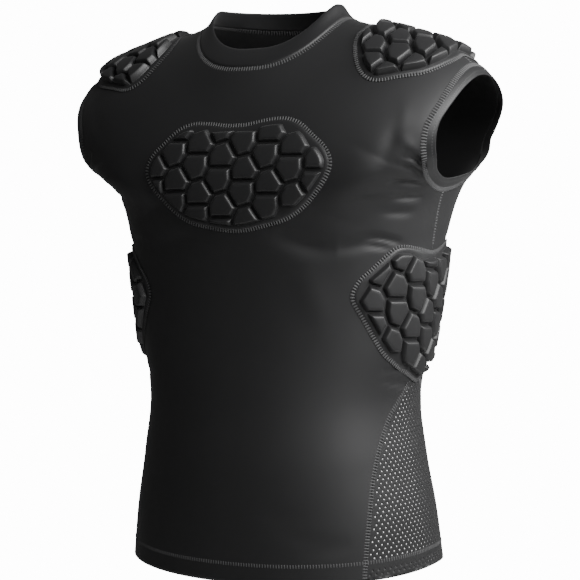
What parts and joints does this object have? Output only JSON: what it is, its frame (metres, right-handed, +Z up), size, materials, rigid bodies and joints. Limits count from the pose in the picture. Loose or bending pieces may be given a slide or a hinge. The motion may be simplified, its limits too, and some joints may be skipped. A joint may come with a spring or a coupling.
{
  "type": "padded compression shirt",
  "caption": "Close-fitting sleeveless sports undershirt, hollow and in its worn shape, with raised foam-cell pads on chest, shoulders and ribs and open mesh side panels",
  "frame": {"origin": "middle of the line between the two neck points of the shoulders, at the level where the shirt rests on the wearer", "axes": "+Z up along the body, front faces -Y, the wearer's left is +X"},
  "size_m": [0.5004, 0.292, 0.647],
  "materials": {
    "knit_body": "satin stretch knit",
    "mesh": "satin knit with small open holes",
    "trim": "satin doubled knit",
    "pads": "satin knit moulded over foam cells"
  },
  "bodies": {
    "root": {"front_panel": "knit_body", "back_panel": "knit_body", "side_mesh_left": "mesh", "side_mesh_right": "mesh", "collar": "trim", "armhole_band_left": "trim", "armhole_band_right": "trim", "chest_pad": "pads", "shoulder_pad_left": "pads", "shoulder_pad_right": "pads", "rib_pad_left": "pads", "rib_pad_right": "pads"}
  },
  "joints": []
}
